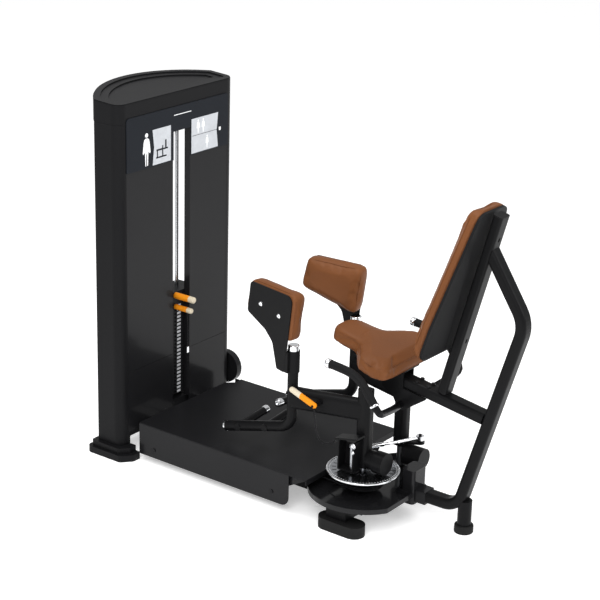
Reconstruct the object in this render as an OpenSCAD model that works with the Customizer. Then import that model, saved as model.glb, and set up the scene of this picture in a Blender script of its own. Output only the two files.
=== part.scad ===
// Seated hip abduction machine with a guided weight stack.
// Lengths are in millimetres. +X runs from the weight tower to the backrest, +Z is up, and
// the machine is symmetric about y = 0 apart from the stack, the lever and the cover.

/* [Tower] */
// Height of the tower over its cap
tower_h = 1500; // [1450:10:1560]
// Width of the tower over its two columns
tower_w = 710; // [690:5:740]
// Depth of the columns
column_d = 126; // [120:2:140]
// Depth from the front panels to the back of the rounded cap
cap_d = 290; // [270:5:310]

/* [Weight stack] */
// Number of plates below the head plate
plate_count = 24; // [18:1:25]
// Height of one plate with its gap
plate_pitch = 16.85; // [16:0.05:18]
// Width of one plate
plate_w = 300; // [280:5:320]
// Diameter of the guide rods
rod_d = 16; // [14:1:18]

/* [Platform] */
// Height of the deck above the floor
deck_h = 166; // [160:1:175]
// Far end of the deck, measured from the tower front
deck_end = 908; // [890:1:915]
// Width of the deck
deck_w = 626; // [610:2:640]

/* [Arms] */
// Pivot axis, measured from the tower front
pivot_x = 1046; // [1040:1:1052]
// Distance of each pivot axis from the middle
pivot_y = 130; // [128:1:132]
// Upright, measured from the tower front
upright_x = 757; // [750:1:765]
// Distance of each upright from the middle at rest
upright_y = 207; // [200:1:212]
// Diameter of the upright and foot tube
upright_d = 42; // [40:1:44]
// Height of the pad collar
collar_z = 632; // [626:1:640]
// Toe-in of the pads
pad_toe = 8.6; // [7:0.1:10]
// Radius of the range disc
disc_r = 142; // [134:1:143]

/* [Seat and frame] */
// Width of the seat over its wings
seat_w = 420; // [400:2:430]
// Thickness of the seat cushion
seat_t = 55; // [50:1:60]
// Length of the backrest along its slope
back_len = 620; // [600:2:630]
// Thickness of the backrest cushion
back_t = 46; // [42:1:50]
// Width of the frame tubes
tube_w = 60; // [56:1:62]
// Depth of the rear loop tube
loop_t = 45; // [42:1:48]

/* [Hidden] */

$fn = 48;

// Everything is drawn from the tower front, and this moves it to the middle of the floor area
front_x = -677;

run_gap = 0.05;                 // radial gap of a running fit
body_gap = 0.6;                 // gap between pieces that only face each other
sheet = 3;                      // thickness of sheet-metal covers

frame_black = [0.10, 0.10, 0.11];
gloss_black = [0.16, 0.16, 0.17];
leather = [0.55, 0.34, 0.22];
orange = [0.90, 0.56, 0.12];
steel = [0.80, 0.81, 0.83];
rubber = [0.05, 0.05, 0.05];

// Tower
column_y = tower_w / 2;
column_in = column_y - 59;      // inner face of a column
column_front = column_y - 44;   // where the rounded front corner ends
corner_x = 37.5;                // depth of the rounded front corner
column_bottom = 44;
cap_z = 1401.5 + tower_h - 1500;
slot_near = -32;
slot_far = 74;
slot_top = cap_z - 80.5;
kick_z = 366;
flange_d = 30;
placard_z = cap_z - 198.5;
placard_h = 219;
beam_back = -115;
beam_front = -20;
base_beam_top = 140;

// Weight stack
stack_x = -90;                  // middle of the plates
stack_y = 20;
stack_d = 116;
stack_z = 158.5;                // underside of the lowest plate
rod_off = 75;
rod_r = rod_d / 2;
plate_gap = 0.5;
selector_r = 12.5;
pin_r = 5;
stack_top = stack_z + plate_count * plate_pitch;
pin_z = stack_top - plate_pitch / 2;
head_h = 56;
increment_z = stack_top + 42;
cable_r = 2.5;
top_pulley_r = 50;
top_pulley_z = cap_z - 92;
bottom_pulley_r = 33;
cable_back_x = stack_x - 2 * top_pulley_r;
bottom_pulley_x = cable_back_x + bottom_pulley_r;
bottom_pulley_z = 92;

// Platform and pivot base
deck_start = 62;
deck_t = 4;
skirt_end = 827;
skirt_low = 29;
spine_y = 150;
tray_r = 212;
tray_far_r = 96;
tray_end = 1232;
foot_y = 290;                   // the near foot is further out than the far one
foot_far_y = 135;
tray_z = 102;
tray_h = 20;
shaft_r = 15;
shaft_top = 503;
disc_z = 188;
disc_t = 6;
index_r = 56;

// Arms
post_bottom = 206;
post_top = 524;
beam_z = 437;
beam_h = 88;
beam_t = 50;
upright_r = upright_d / 2;
foot_slope = 15.5;
foot_bend_z = 313.5;
foot_end_x = 433;
peg_slope = 5.2;
peg_len = 150;
peg_r = 15;
peg_steps = [253, 120];         // distances of the pegs from the upright
cap_len = 27;
cap_r = 17;
crank_r = 75;
crank_angle = 25;               // half of each arm's swing
rod_z = 241;
arm_turn = atan2(upright_y - pivot_y, pivot_x - upright_x);

// Pads
pad_back_y = -31;               // plane between pad plate and cushion
pad_thick = 68;
sleeve_z = 543;

// Seat and backrest
seat_x = 1168;
seat_z = 602;
seat_tilt = 8.8;
back_x = 1282;
back_z = 700;
back_tilt = 17.4;
post_tilt = 14.7;
post_x = 1305;
post_z = 520;
post_len = 776;
post_t = 40;
rail_tilt = 8.8;
rail_x = 1100;
rail_z = 550.5;
rail_h = 46;
handle_y = 287;

// ---------------------------------------------------------------- shapes and helpers

function arc(cx, cy, r, a0, a1, n = 6) =
    [for (i = [0:n]) let (a = a0 + (a1 - a0) * i / n) [cx + r * cos(a), cy + r * sin(a)]];

function rounded(w, h, r, n = 5) = concat(
    arc(w / 2 - r, h / 2 - r, r, 0, 90, n), arc(-w / 2 + r, h / 2 - r, r, 90, 180, n),
    arc(-w / 2 + r, -h / 2 + r, r, 180, 270, n), arc(w / 2 - r, -h / 2 + r, r, 270, 360, n));

function unit(v) = v / norm(v);

// Rounds every corner of a closed outline, where each point is [x, y, radius]
function corner(p, i, n) =
    let (k = len(p), a = [p[(i + k - 1) % k][0], p[(i + k - 1) % k][1]], b = [p[i][0], p[i][1]],
         c = [p[(i + 1) % k][0], p[(i + 1) % k][1]], u = unit(a - b), v = unit(c - b),
         half = acos(u * v) / 2, r = p[i][2], m = b + unit(u + v) * r / sin(half),
         s = b + u * r / tan(half) - m, e = b + v * r / tan(half) - m,
         a0 = atan2(s[1], s[0]), d0 = atan2(e[1], e[0]) - a0,
         d = d0 > 180 ? d0 - 360 : (d0 < -180 ? d0 + 360 : d0))
    [for (j = [0:n]) m + r * [cos(a0 + d * j / n), sin(a0 + d * j / n)]];
function soften(p, n = 6) = [for (i = [0:len(p) - 1]) each corner(p, i, n)];

// Points on a smooth curve through a list of hand-chosen points
function spline(p, n) = concat(
    [for (i = [0:len(p) - 2])
        let (a = p[max(i - 1, 0)], b = p[i], c = p[i + 1], d = p[min(i + 2, len(p) - 1)])
        for (j = [0:n - 1])
            let (t = j / n)
            0.5 * (2 * b + (c - a) * t + (2 * a - 5 * b + 4 * c - d) * t * t
                   + (3 * b - a - 3 * c + d) * t * t * t)],
    [p[len(p) - 1]]);

// Rings of a round tube along a path, each square to the path
function frames(p, i = 0, side = [0, 1, 0]) =
    let (k = len(p), t = unit(p[min(i + 1, k - 1)] - p[max(i - 1, 0)]),
         s0 = side - (side * t) * t, s = norm(s0) < 0.01 ? unit(cross(t, [1, 0, 0])) : unit(s0))
    i == k - 1 ? [[p[i], s, cross(t, s)]] : concat([[p[i], s, cross(t, s)]], frames(p, i + 1, s));

function disc_outline(r, n = 24) =
    [for (i = [0:n - 1]) let (a = 360 * (i + 0.5) / n) r * [cos(a), sin(a)]];

// Solid of one outline along a path
module sweep(path, outline) {
    f = frames(path);
    n = len(f);
    k = len(outline);
    points = [for (q = f) for (o = outline) q[0] + o[0] * q[1] + o[1] * q[2]];
    faces = concat([[for (j = [0:k - 1]) j]],
        [for (i = [0:n - 2]) for (j = [0:k - 1])
            [(i + 1) * k + j, (i + 1) * k + (j + 1) % k, i * k + (j + 1) % k, i * k + j]],
        [[for (j = [k - 1:-1:0]) (n - 1) * k + j]]);
    polyhedron(points, faces, convexity = 6);
}

// Path in the XZ plane with rounded bends, where each point is [x, z, radius]
function bent(p, n = 8) = [for (q = concat([[p[0][0], p[0][1]]],
    [for (i = [1:len(p) - 2]) each corner([p[i - 1], p[i], p[i + 1]], 1, n)],
    [[p[len(p) - 1][0], p[len(p) - 1][1]]])) [q[0], 0, q[1]]];

// Straight bar of a given outline from one point to another
module bar(from, to, outline) {
    d = to - from;
    turn = atan2(d[1], d[0]);
    tilt = atan2(norm([d[0], d[1]]), d[2]);
    translate(from) rotate([0, tilt, turn]) linear_extrude(norm(d)) polygon(outline);
}

// Straight round bar
module rod(from, to, r) {
    d = to - from;
    translate(from) rotate([0, atan2(norm([d[0], d[1]]), d[2]), atan2(d[1], d[0])])
        cylinder(h = norm(d), r = r);
}

module from_front() { translate([front_x, 0, 0]) children(); }
module mirrored() { mirror([0, 1, 0]) children(); }
module both_sides() { children(); mirrored() children(); }
module plate_xz(outline, y, t) {
    translate([0, y + t, 0]) rotate([90, 0, 0]) linear_extrude(t) polygon(outline);
}
module block(low, high) { translate(low) cube(high - low); }

// ---------------------------------------------------------------- tower

// Plan of the tower from its rear corners to the rounded front corners
function front_corner(inset = 0) =
    let (rx = max(corner_x - inset, 3), ry = max(44 - inset, 3))
    [for (i = [0:8]) let (a = -90 + 90 * i / 8)
        [-inset - rx + rx * cos(a), -column_y + inset + ry + ry * sin(a)]];

module column() {
    difference() {
        translate([0, 0, column_bottom]) linear_extrude(cap_z - column_bottom)
            polygon(concat(front_corner(), [[-sheet - body_gap, -column_front],
                [-sheet - body_gap, -column_in], [-column_d, -column_in],
                [-column_d, -column_y]]));
        block([-column_d + 5, -column_y + 5, column_bottom - 1],
              [-corner_x, -column_in - 5, cap_z + 1]);
    }
}

module near_column() color(frame_black) from_front() column();
module far_column() color(frame_black) from_front() mirrored() column();

module column_feet() color(frame_black) from_front() both_sides() difference() {
    union() {
        linear_extrude(28) polygon(soften([[-160, -390, 22], [20, -390, 22], [58, -345, 18],
                                           [58, -300, 10], [-160, -300, 10]]));
        translate([0, 0, 27]) linear_extrude(24) polygon(soften([[-148, -376, 14], [2, -376, 20],
                                           [34, -338, 14], [34, -300, 6], [-148, -300, 6]]));
    }
    translate([0, 0, column_bottom - 0.3]) linear_extrude(30) polygon(concat(
        [for (q = front_corner(-body_gap)) q], [[body_gap, -290], [-column_d - body_gap, -290],
        [-column_d - body_gap, -column_y - body_gap]]));
}

module rod_places() {
    for (side = [-1, 1]) translate([stack_x, stack_y + side * rod_off, 0]) children();
}

module cross_beam(z0, z1) {
    difference() {
        block([beam_back, -column_in + body_gap, z0], [beam_front, column_in - body_gap, z1]);
        block([beam_back + 4, -column_in - 1, z0 + 4], [beam_front - 4, column_in + 1, z1 - 4]);
        rod_places() translate([0, 0, z0 + 10]) cylinder(h = z1 - z0, r = rod_r + 0.1);
    }
}
module tower_beams() color(frame_black) from_front() {
    cross_beam(70, base_beam_top);
    difference() {
        cross_beam(cap_z - 32, cap_z - 1);
        rod_places() translate([0, 0, cap_z - 40]) cylinder(h = 20, r = rod_r + 0.1);
    }
}

// Plan of the cap, whose back is one shallow arc from column to column
cap_bow = cap_d - column_d;
cap_arc_r = (column_y * column_y + cap_bow * cap_bow) / (2 * cap_bow);
function cap_outline(g = 0) = let (half = asin((column_y - g) / (cap_arc_r - g)))
    concat(front_corner(g),
        [for (i = [8:-1:0]) let (q = front_corner(g)[i]) [q[0], -q[1]]],
        arc(cap_arc_r - cap_d, 0, cap_arc_r - g, 180 - half, 180 + half, 24));

// The top falls towards the front and steps down twice inside a broad flat rim
cap_slope = 3.6;
cap_front_z = tower_h - cap_d * sin(cap_slope);
module on_cap_top() { translate([0, 0, cap_front_z]) rotate([0, cap_slope, 0]) children(); }
module top_cap() color(frame_black) from_front() difference() {
    union() {
        difference() {
            translate([0, 0, cap_z + body_gap]) linear_extrude(130) polygon(cap_outline());
            on_cap_top() block([-400, -500, -4], [100, 500, 200]);
        }
        on_cap_top() translate([0, 0, -4.01]) linear_extrude(4.01) polygon(cap_outline(2));
    }
    translate([0, 0, cap_z - 1]) linear_extrude(57) polygon(cap_outline(16));
    on_cap_top() translate([0, 0, -5]) linear_extrude(10) polygon(cap_outline(28));
    on_cap_top() translate([0, 0, -10]) linear_extrude(10) polygon(cap_outline(60));
}

// Sheet with a flange turned back at the slot
module panel_sheet(y0, y1, z0, z1, flange_y) {
    block([-sheet, y0, z0], [0, y1, z1]);
    block([-flange_d, flange_y, max(z0, base_beam_top + body_gap)],
          [-sheet + 0.1, flange_y + sheet, min(z1, slot_top)]);
}
module near_front_panel() color(gloss_black) from_front()
    panel_sheet(-column_front + body_gap, slot_near, kick_z, cap_z - body_gap, slot_near - sheet);
module far_front_panel() color(gloss_black) from_front()
    panel_sheet(slot_far, column_front - body_gap, kick_z, cap_z - body_gap, slot_far);

module lower_covers() color(gloss_black) from_front() {
    panel_sheet(-column_front + body_gap, slot_near, 102, kick_z - 1.5, slot_near - sheet);
    panel_sheet(slot_far, column_front - body_gap, 102, kick_z - 1.5, slot_far);
    // round cover outside the far lower corner
    translate([-35, column_y + 31, 180]) rotate([90, 0, 0]) cylinder(h = 30.4, r = 72);
}

module placard_plate() color([0.12, 0.13, 0.15]) from_front() difference() {
    translate([sheet + body_gap, 0, placard_z]) rotate([0, -90, 0]) linear_extrude(sheet)
        polygon([for (q = soften([[0, -column_front, 3], [0, column_front, 3],
            [placard_h, column_front, 14], [placard_h, -column_front, 14]])) q]);
    block([-1, slot_near, placard_z - 1], [10, slot_far, slot_top]);
}

// Card with one side notched inwards at mid height
module card(y0, y1, z0, z1, notch) {
    mid = (z0 + z1) / 2;
    translate([sheet + body_gap + 0.3, 0, 0]) rotate([90, 0, 90]) linear_extrude(1.2)
        polygon(notch < 0 ? [[y0, z0], [y1, z0], [y1, z1], [y0, z1], [y0 - notch, mid]]
                          : [[y0, z0], [y1, z0], [y1 - notch, mid], [y1, z1], [y0, z1]]);
}
module instruction_cards() color(steel) from_front() {
    card(-160, -51, placard_z + 5, placard_z + 149, -9);
    card(77, 245, placard_z + 5, placard_z + 149, 9);
}

// ---------------------------------------------------------------- weight stack

module guide_rods() color(steel) from_front() rod_places()
    translate([0, 0, 82]) cylinder(h = cap_z - 12 - 82, r = rod_r);

module stack_bumpers() color(rubber) from_front() rod_places()
    translate([0, 0, base_beam_top + 0.2]) difference() {
        cylinder(h = stack_z - base_beam_top - 0.4, r = 21);
        translate([0, 0, -1]) cylinder(h = 40, r = rod_r + 0.2);
    }

module plate_box(z, h) {
    block([stack_x - stack_d / 2, stack_y - plate_w / 2, z],
          [stack_x + stack_d / 2, stack_y + plate_w / 2, z + h]);
}
module plate_holes(z, h) {
    rod_places() translate([0, 0, z]) cylinder(h = h, r = rod_r + 0.6);
    translate([stack_x, stack_y, z]) cylinder(h = h, r = selector_r + 1);
}
module pin_hole(z) {
    translate([stack_x, stack_y, z]) rotate([0, 90, 0]) cylinder(h = 80, r = pin_r + 0.5);
}

module lower_plates() color([0.13, 0.13, 0.14]) from_front()
    for (i = [0:plate_count - 2]) difference() {
        plate_box(stack_z + i * plate_pitch, plate_pitch - plate_gap);
        plate_holes(stack_z + i * plate_pitch - 1, plate_pitch + 2);
        pin_hole(stack_z + (i + 0.5) * plate_pitch);
    }

module selected_plate() color([0.13, 0.13, 0.14]) from_front() difference() {
    plate_box(stack_top - plate_pitch, plate_pitch - plate_gap);
    plate_holes(stack_top - plate_pitch - 1, plate_pitch + 2);
    pin_hole(pin_z);
}

module head_plate() color([0.10, 0.10, 0.11]) from_front() {
    difference() {
        union() {
            plate_box(stack_top, 24);
            block([stack_x - 40, stack_y - plate_w / 2 + 20, stack_top + 23.9],
                  [stack_x + stack_d / 2, stack_y + plate_w / 2 - 20, stack_top + head_h]);
        }
        rod_places() translate([0, 0, stack_top - 1]) cylinder(h = head_h + 2, r = rod_r + run_gap);
        translate([stack_x, stack_y, increment_z]) rotate([0, 90, 0])
            cylinder(h = 80, r = pin_r + run_gap);
    }
    difference() {
        translate([stack_x, stack_y, stack_z + 2])
            cylinder(h = stack_top - stack_z - 1, r = selector_r);
        for (i = [0:plate_count - 1]) pin_row(i);
    }
    translate([stack_x, stack_y, stack_top + head_h - 0.1]) cylinder(h = 22, r = 9);
}
module pin_row(i) {
    translate([stack_x - 1, stack_y, stack_z + (i + 0.5) * plate_pitch])
        rotate([0, 90, 0]) cylinder(h = 30, r = pin_r + run_gap);
}

// Round handle with a domed end, along +X
module pin_grip(r, h) {
    rotate([0, 90, 0]) rotate_extrude() polygon(concat([[0, 0], [r, 0]],
        [for (i = [0:6]) [r - 6 + 6 * cos(15 * i), h - 6 + 6 * sin(15 * i)]], [[0, h]]));
}
module selector_pin() color(orange) from_front() translate([0, stack_y, pin_z]) {
    translate([stack_x + 1, 0, 0]) rotate([0, 90, 0]) cylinder(h = 60, r = pin_r);
    translate([stack_x + 60, 0, 0]) pin_grip(11.5, 90);
}
module increment_pin() color(orange) from_front() translate([0, stack_y, increment_z]) {
    translate([stack_x + 1, 0, 0]) rotate([0, 90, 0]) cylinder(h = 60, r = pin_r);
    translate([stack_x + 60, 0, 0]) pin_grip(13.5, 103);
}

lanyard_points = [[34, 20, 542], [35, 20, 525], [36, 21, 470], [37, 20, 430], [37, 20, 392]];
module pin_lanyard() color(rubber) from_front() sweep(spline(lanyard_points, 4), disc_outline(1.5, 8));
module lanyard_tag() color(steel) from_front()
    block([35.5, 14, 366], [38.5, 26, 391.5]);

module lift_cable() color([0.3, 0.3, 0.32]) from_front()
    translate([stack_x, stack_y, stack_top + head_h + 22.2])
        cylinder(h = top_pulley_z - stack_top - head_h - 22.8, r = cable_r, $fn = 24);

function turn_points(cx, cz, r, a0, a1, n) =
    [for (i = [0:n]) let (a = a0 + (a1 - a0) * i / n) [cx + r * cos(a), stack_y, cz + r * sin(a)]];
drum_z = 140;
drum_r = 80;
drive_route = concat(
    turn_points(stack_x - top_pulley_r, top_pulley_z, top_pulley_r, 0, 180, 14),
    turn_points(bottom_pulley_x, bottom_pulley_z, bottom_pulley_r, 180, 270, 8),
    [[-10, 17, 60], [300, -68, 104], [720, -150, 121]],
    [for (i = [0:8]) let (a = -102 + 9 * i)
        [pivot_x + (drum_r + 3) * cos(a), -pivot_y + (drum_r + 3) * sin(a), drum_z]]);
module drive_cable() color([0.3, 0.3, 0.32]) from_front() sweep(drive_route, disc_outline(cable_r, 8));

module grooved_wheel(r, t, bore) {
    rotate([90, 0, 0]) rotate_extrude() polygon([[bore, -t / 2], [r + 6, -t / 2], [r + 6, -t / 2 + 3],
        [r - 3.2, -2.4], [r - 3.2, 2.4], [r + 6, t / 2 - 3], [r + 6, t / 2], [bore, t / 2]]);
}
module top_pulley() color([0.2, 0.2, 0.21]) from_front()
    translate([stack_x - top_pulley_r, stack_y, top_pulley_z])
        grooved_wheel(top_pulley_r, 18, 8 + run_gap);
module bottom_pulley() color([0.2, 0.2, 0.21]) from_front()
    translate([bottom_pulley_x, stack_y, bottom_pulley_z])
        grooved_wheel(bottom_pulley_r, 18, 8 + run_gap);

module pulley_brackets() color(frame_black) from_front() {
    for (side = [-1, 1]) translate([0, stack_y + side * 14 - 2.5, 0]) {
        block([stack_x - top_pulley_r - 15, 0, top_pulley_z - 18], [beam_back - 0.4, 5, cap_z - 2]);
        block([bottom_pulley_x - 14, 0, bottom_pulley_z - 14], [beam_back - 0.5, 5, 132]);
    }
    translate([stack_x - top_pulley_r, stack_y + 20, top_pulley_z]) rotate([90, 0, 0])
        cylinder(h = 40, r = 8);
    translate([bottom_pulley_x, stack_y + 20, bottom_pulley_z]) rotate([90, 0, 0])
        cylinder(h = 40, r = 8);
}

// ---------------------------------------------------------------- platform and base

module platform_deck() color(gloss_black) from_front() {
    half = deck_w / 2;
    translate([0, 0, deck_h - deck_t]) linear_extrude(deck_t)
        polygon(soften([[deck_start, -half, 4], [deck_end, -half, 4], [deck_end, half, 4],
                        [94, half, 4], [94, 268, 4], [deck_start, 240, 4]], 3));
    block([deck_end - 4, -half + 4, deck_h - 24], [deck_end, half - 4, deck_h - deck_t + 0.1]);
}

module platform_skirts() color(gloss_black) from_front() both_sides() {
    plate_xz(soften([[deck_start, skirt_low, 4], [skirt_end, skirt_low, 34],
        [skirt_end, deck_h - deck_t - 0.4, 3], [deck_start, deck_h - deck_t - 0.4, 3]]),
        -deck_w / 2, sheet);
    // gusset from the skirt end up to the deck corner
    plate_xz([[skirt_end - 30, 100], [deck_end - 8, deck_h - 9], [deck_end - 8, deck_h - deck_t - 0.4],
              [skirt_end - 30, deck_h - deck_t - 0.4]], -deck_w / 2 + 12, sheet);
    block([skirt_end - 30, -deck_w / 2 + sheet - 0.1, 100], [skirt_end - 24, -deck_w / 2 + 13, 140]);
}

module underframe() color(frame_black) from_front() {
    both_sides() block([beam_front + 0.3, -spine_y - 25, 50], [1000.5, -spine_y + 25, 100]);
    for (x = [140, 440, 700]) {
        both_sides() block([x - 20, -spine_y - 25, 99.9], [x + 20, -spine_y - 8, 126]);
        block([x - 20, -300, 125.9], [x + 20, 300, deck_h - deck_t - 0.3]);
    }
}

module tray_plan(inset) {
    difference() {
        union() {
            translate([pivot_x, -pivot_y]) circle(r = tray_r - inset, $fn = 96);
            translate([pivot_x, pivot_y]) circle(r = tray_far_r - inset, $fn = 64);
            translate([pivot_x - 200 + inset, -110]) square([290 - 2 * inset, 220]);
        }
        translate([tray_end - inset, -400]) square(500);
        translate([1163 - inset, -58 - inset]) square([200, 116 + 2 * inset]);
    }
}
module pivot_tray() color(gloss_black) from_front() difference() {
    translate([0, 0, tray_z]) linear_extrude(tray_h) tray_plan(0);
    translate([0, 0, tray_z + 4]) linear_extrude(tray_h) tray_plan(4);
    for (side = [-1, 1]) translate([pivot_x, side * pivot_y, tray_z - 1])
        cylinder(h = 30, r = shaft_r + 8);
}

module base_foot_pads() color(rubber) from_front() for (y = [-foot_y, foot_far_y])
    translate([1065, y, 0]) linear_extrude(45) polygon(rounded(200, 86, 42.9, 10));

module base_cross_beam() color(frame_black) from_front() {
    block([1001, -foot_y - 15, 45.3], [1091, foot_far_y + 30, 101.3]);
    for (side = [-1, 1]) translate([pivot_x, side * pivot_y, 101]) difference() {
        cylinder(h = 20, r = shaft_r + 6);
        translate([0, 0, -1]) cylinder(h = 30, r = shaft_r + 0.1);
    }
    block([1090.9, -45, 50], [1164.5, 45, 100]);
}

module pivot_shafts() color(steel) from_front() for (side = [-1, 1])
    translate([pivot_x, side * pivot_y, 101.5]) cylinder(h = shaft_top - 101.5, r = shaft_r);

module rear_housing() color(frame_black) from_front() {
    translate([1195, 0, 60]) linear_extrude(140) polygon(rounded(60, 90, 14));
    block([1200, -31, 70], [1270, 31, 121.5]);
}

// ---------------------------------------------------------------- seat frame

loop_points = [[1270.4, 98, 0], [1404, 98, 80], [1632.5, 891, 120], [1470, 1137, 0]];
module rear_loop() color(frame_black) from_front() {
    difference() {
        sweep(bent(loop_points), rounded(tube_w, loop_t, 14, 4));
        // cut to the back of the post
        translate(post_at(450)) rotate([0, post_tilt, 0])
            block([-80, -50, 0], [post_t / 2 + 0.4, 50, 400]);
    }
    translate([1430, 0, 14.3]) cylinder(h = 118, r = 27);
}
module leg_ring() color(rubber) from_front() translate([1430, 0, 0]) difference() {
    rotate_extrude() polygon(concat([[0, 0], [35, 0], [37, 3], [37, 27]],
                                    arc(32, 27, 5, 0, 90, 4), [[0, 32]]));
    translate([0, 0, 14]) cylinder(h = 30, r = 27.1);
}

function along(x0, z0, tilt, d) = [x0 + d * cos(tilt), 0, z0 - d * sin(tilt)];
module seat_rail() color(frame_black) from_front() difference() {
    bar(along(rail_x, rail_z, rail_tilt, 0), along(rail_x, rail_z, rail_tilt, 420),
        rounded(rail_h, tube_w, 12, 4));
    // cut to the front of the loop
    translate([loop_points[1][0], 0, loop_points[1][1]])
        rotate([0, atan2(loop_points[2][0] - loop_points[1][0],
                         loop_points[2][1] - loop_points[1][1]), 0])
            block([-loop_t / 2 - 0.3, -60, 300], [100, 60, 600]);
}

module bracket_side() {
    plate_xz([[1052, 512], [1103, 484], [1119, 455], [1135, 434], [1158, 437], [1200, 468],
              [1250, 503], [1250, 508], [1148, 524], [1148, 588], [1052, 603]], 31, 5);
}
module seat_bracket() color(frame_black) from_front() difference() {
    union() {
        both_sides() bracket_side();
        on_seat() block([-230, -70, -18.5], [-16, 70, -12.5]);
        block([1060, -32, 540], [1066, 32, 600]);
    }
    translate([1140, 60, 455]) rotate([90, 0, 0]) cylinder(h = 120, r = 14.3);
}

// Plan of the seat, nose towards -X, measured from its rear edge
function seat_half(g) = [[-352 + g, 0.01, 0], [-352 + g, 74 - g, 55 - g / 2],
    [-205, 84 - g, 60], [-128 + g * 0.4, seat_w / 2 - 18 - g, 44],
    [-45, seat_w / 2 - g, 30], [0 - g, seat_w / 2 - 22 - g, 34 - g / 2], [0 - g, 0.01, 0]];
function seat_plan(g) =
    let (h = seat_half(g), k = [for (i = [1:len(h) - 2]) h[i]], n = len(k))
    soften(concat(k, [for (i = [n - 1:-1:0]) [k[i][0], -k[i][1], k[i][2]]]), 6);

module on_seat() { translate([seat_x, 0, seat_z]) rotate([0, seat_tilt, 0]) children(); }
module seat_pan() color(frame_black) from_front() on_seat()
    translate([0, 0, -12]) linear_extrude(11.5) polygon(seat_plan(24));
module seat_cushion() color(leather) from_front() on_seat() {
    linear_extrude(seat_t - 14) polygon(seat_plan(0));
    translate([0, 0, seat_t - 14.1]) linear_extrude(8) polygon(seat_plan(5));
    translate([0, 0, seat_t - 6.2]) linear_extrude(6.2) polygon(seat_plan(14));
}

function post_at(d) = [post_x + d * sin(post_tilt), 0, post_z + d * cos(post_tilt)];
module back_post() color(frame_black) from_front() difference() {
    bar(post_at(28), post_at(post_len), rounded(post_t, tube_w, 10, 4));
    for (z = [776, 1189]) translate(post_at((z - post_z) / cos(post_tilt)))
        rotate([0, post_tilt, 0]) rotate([0, 90, 0]) {
            cylinder(h = 40, r = 5);
            translate([9, 0, 0]) cylinder(h = 40, r = 5);
            translate([0, -5, 0]) cube([9, 10, 40]);
        }
}
module back_post_cap() color([0.2, 0.2, 0.2]) from_front()
    bar(post_at(post_len + 0.3), post_at(post_len + 5), rounded(post_t, tube_w, 10, 4));

function back_plan(g) =
    let (k = [[g, 168 - g, 55 - g / 2], [150, 166 - g, 150], [back_len - 60, 106 - g, 40],
              [back_len - g, 92 - g, 40 - g / 2]], n = len(k))
    soften(concat(k, [for (i = [n - 1:-1:0]) [k[i][0], -k[i][1], k[i][2]]]), 6);
module on_back() {
    translate([back_x, 0, back_z]) rotate([0, back_tilt, 0]) rotate([0, -90, 0]) children();
}
module back_cushion() color(leather) from_front() on_back() {
    translate([0, 0, 0.4]) linear_extrude(back_t - 14) polygon(back_plan(0));
    translate([0, 0, back_t - 13.7]) linear_extrude(8) polygon(back_plan(5));
    translate([0, 0, back_t - 5.8]) linear_extrude(5.8) polygon(back_plan(14));
}
module back_shell() color(frame_black) from_front() on_back() hull() {
    translate([0, 0, -10]) linear_extrude(10) polygon(back_plan(2));
    rotate([90, 0, 0]) linear_extrude(90, center = true)
        polygon([[40, -1], [40, -38], [590, -11], [590, -1]]);
}

handle_route = [[972, -287, 660], [1030, -287, 655], [1084, -287, 646], [1125, -287, 624],
    [1158, -287, 588], [1186, -287, 550], [1203, -280, 522], [1202, -258, 507],
    [1192, -225, 497], [1166, -130, 473], [1143, -62, 456], [1140, -30, 455], [1140, -10, 455]];
function mirror_route(p) = concat(p, [for (i = [len(p) - 1:-1:0]) [p[i][0], -p[i][1], p[i][2]]]);
handle_path = spline(mirror_route(handle_route), 2);
grip_rings = 10;                // rings of the handle path under each grip
// Handle path that starts a little way along, up to the given ring
function from_end(d, last) = concat([handle_path[0] + d * unit(handle_path[1] - handle_path[0])],
    [for (i = [1:last]) handle_path[i]]);
module handle_tube() color(frame_black) from_front() {
    n = len(handle_path) - 1;
    tip = from_end(6, 1)[0];
    sweep(concat(from_end(6, n - 1), [[tip[0], -tip[1], tip[2]]]), disc_outline(13.8, 16));
}
module handle_grips() color(rubber) from_front() both_sides() difference() {
    sweep(from_end(0, grip_rings), disc_outline(16.5, 16));
    sweep(from_end(5, grip_rings + 1), disc_outline(14.4, 16));
}

// ---------------------------------------------------------------- arms

module near_pivot() { translate([pivot_x, -pivot_y, 0]) children(); }

module arm_frame(tail_z, tail_r, tail_len, end_r = 0) {
    hub = [pivot_x, -pivot_y, 0];
    up = [upright_x, -upright_y, 0];
    difference() {
        union() {
            translate([pivot_x, -pivot_y, post_bottom]) linear_extrude(post_top - post_bottom)
                polygon(rounded(57, 52, 18, 6));
            bar(hub + [0, 0, beam_z], up + [0, 0, beam_z], rounded(beam_h, beam_t, 22, 6));
            translate([pivot_x + 27, -pivot_y, tail_z]) rotate([0, 90, 0])
                cylinder(h = tail_len - 27, r = tail_r);
            if (end_r > tail_r) translate([pivot_x + 60, -pivot_y, tail_z]) rotate([0, 90, 0])
                cylinder(h = tail_len - 58, r = end_r);
        }
        translate([pivot_x, -pivot_y, post_bottom - 80])
            cylinder(h = shaft_top + 82 - post_bottom, r = shaft_r + run_gap);
    }
    translate([0, -upright_y, 0]) sweep(bent([[upright_x, collar_z - 0.3, 0],
        [upright_x, foot_bend_z, 70], [foot_end_x + 6,
        foot_bend_z - (upright_x - foot_end_x - 6) * tan(foot_slope), 0]]), disc_outline(upright_r));
    for (s = peg_steps) peg(s);
}
function peg_root(s) = [upright_x - s, -upright_y, foot_bend_z - s * tan(foot_slope)];
function peg_end(s, d) = peg_root(s) + d * [0, cos(peg_slope), sin(peg_slope)];
module peg(s) { rod(peg_end(s, -upright_r - 1), peg_end(s, peg_len), peg_r); }

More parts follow.
